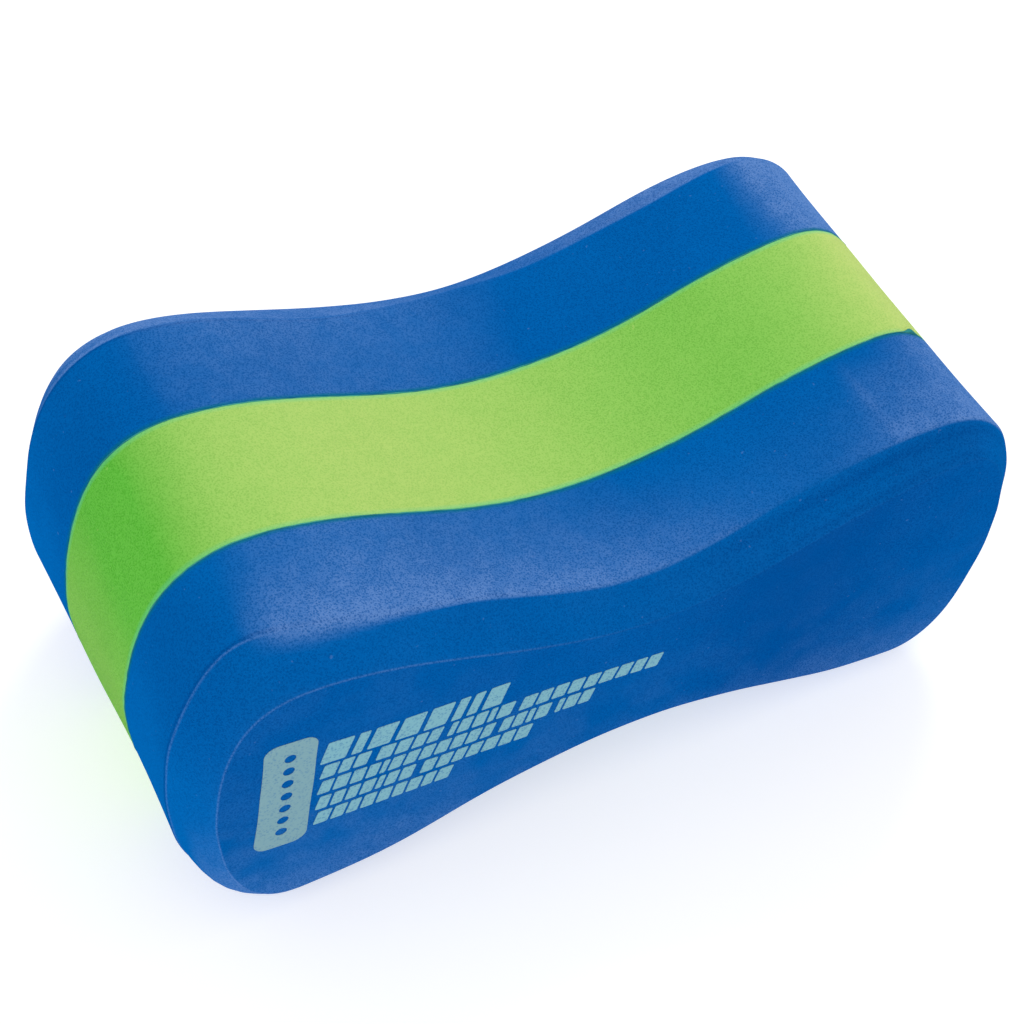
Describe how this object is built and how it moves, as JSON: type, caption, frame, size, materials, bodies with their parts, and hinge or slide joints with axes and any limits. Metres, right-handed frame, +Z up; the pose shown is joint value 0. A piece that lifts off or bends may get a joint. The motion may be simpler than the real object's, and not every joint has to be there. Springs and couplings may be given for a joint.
{
  "type": "pull buoy",
  "caption": "Hourglass foam swim-training float of bonded slabs, with bevelled outer faces and a plain print, held between the thighs to keep the legs up.",
  "frame": {"origin": "middle of the bounding box, on the ground under the two lower lobes", "axes": "+X along the block towards its smaller lobe, +Y through the slabs from the printed face to the rear face, +Z up"},
  "size_m": [0.231, 0.119, 0.1019],
  "materials": {
    "blue_foam": "matte closed-cell EVA foam, fine grain",
    "green_foam": "matte closed-cell EVA foam, fine grain",
    "glue": "thin cured contact adhesive",
    "print_ink": "thin matte screen-print ink"
  },
  "bodies": {
    "root": {"front_foam_layer": "blue_foam", "centre_foam_layer": "green_foam", "rear_foam_layer": "blue_foam", "front_glue_film": "glue", "rear_glue_film": "glue", "printed_badge": "print_ink", "printed_heading": "print_ink", "printed_line_1": "print_ink", "printed_line_2": "print_ink", "printed_line_3": "print_ink", "printed_line_4": "print_ink"}
  },
  "joints": []
}
